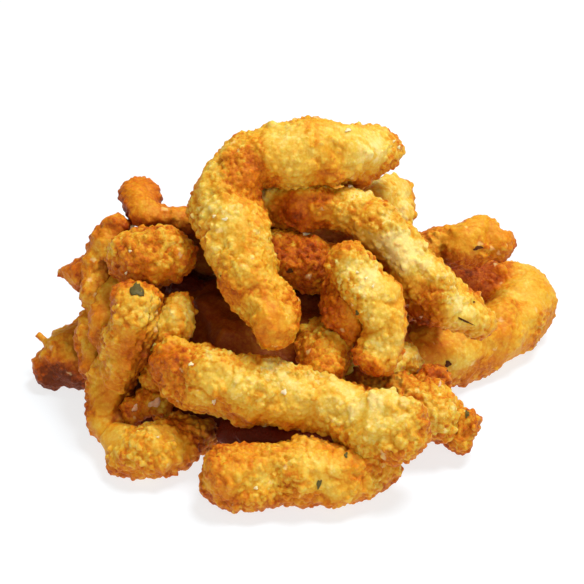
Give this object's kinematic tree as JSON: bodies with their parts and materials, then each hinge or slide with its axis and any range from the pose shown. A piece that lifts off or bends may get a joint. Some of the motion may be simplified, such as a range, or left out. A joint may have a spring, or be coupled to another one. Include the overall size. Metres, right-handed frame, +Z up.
{
  "type": "heap of breaded chicken bites",
  "caption": "Loose heap of long, curved, crumb-coated fried chicken bites, lying over one another as they fell on a flat surface.",
  "frame": {"origin": "middle of the heap's outline, on the table it lies on", "axes": "+X to the right along the heap's length, +Y towards its back, +Z up"},
  "size_m": [0.1404, 0.1062, 0.0759],
  "materials": {
    "crumb_coating": "rough golden crumb coating with paler tops and browner edges"
  },
  "bodies": {
    "root": {"heap": "crumb_coating"}
  },
  "joints": []
}
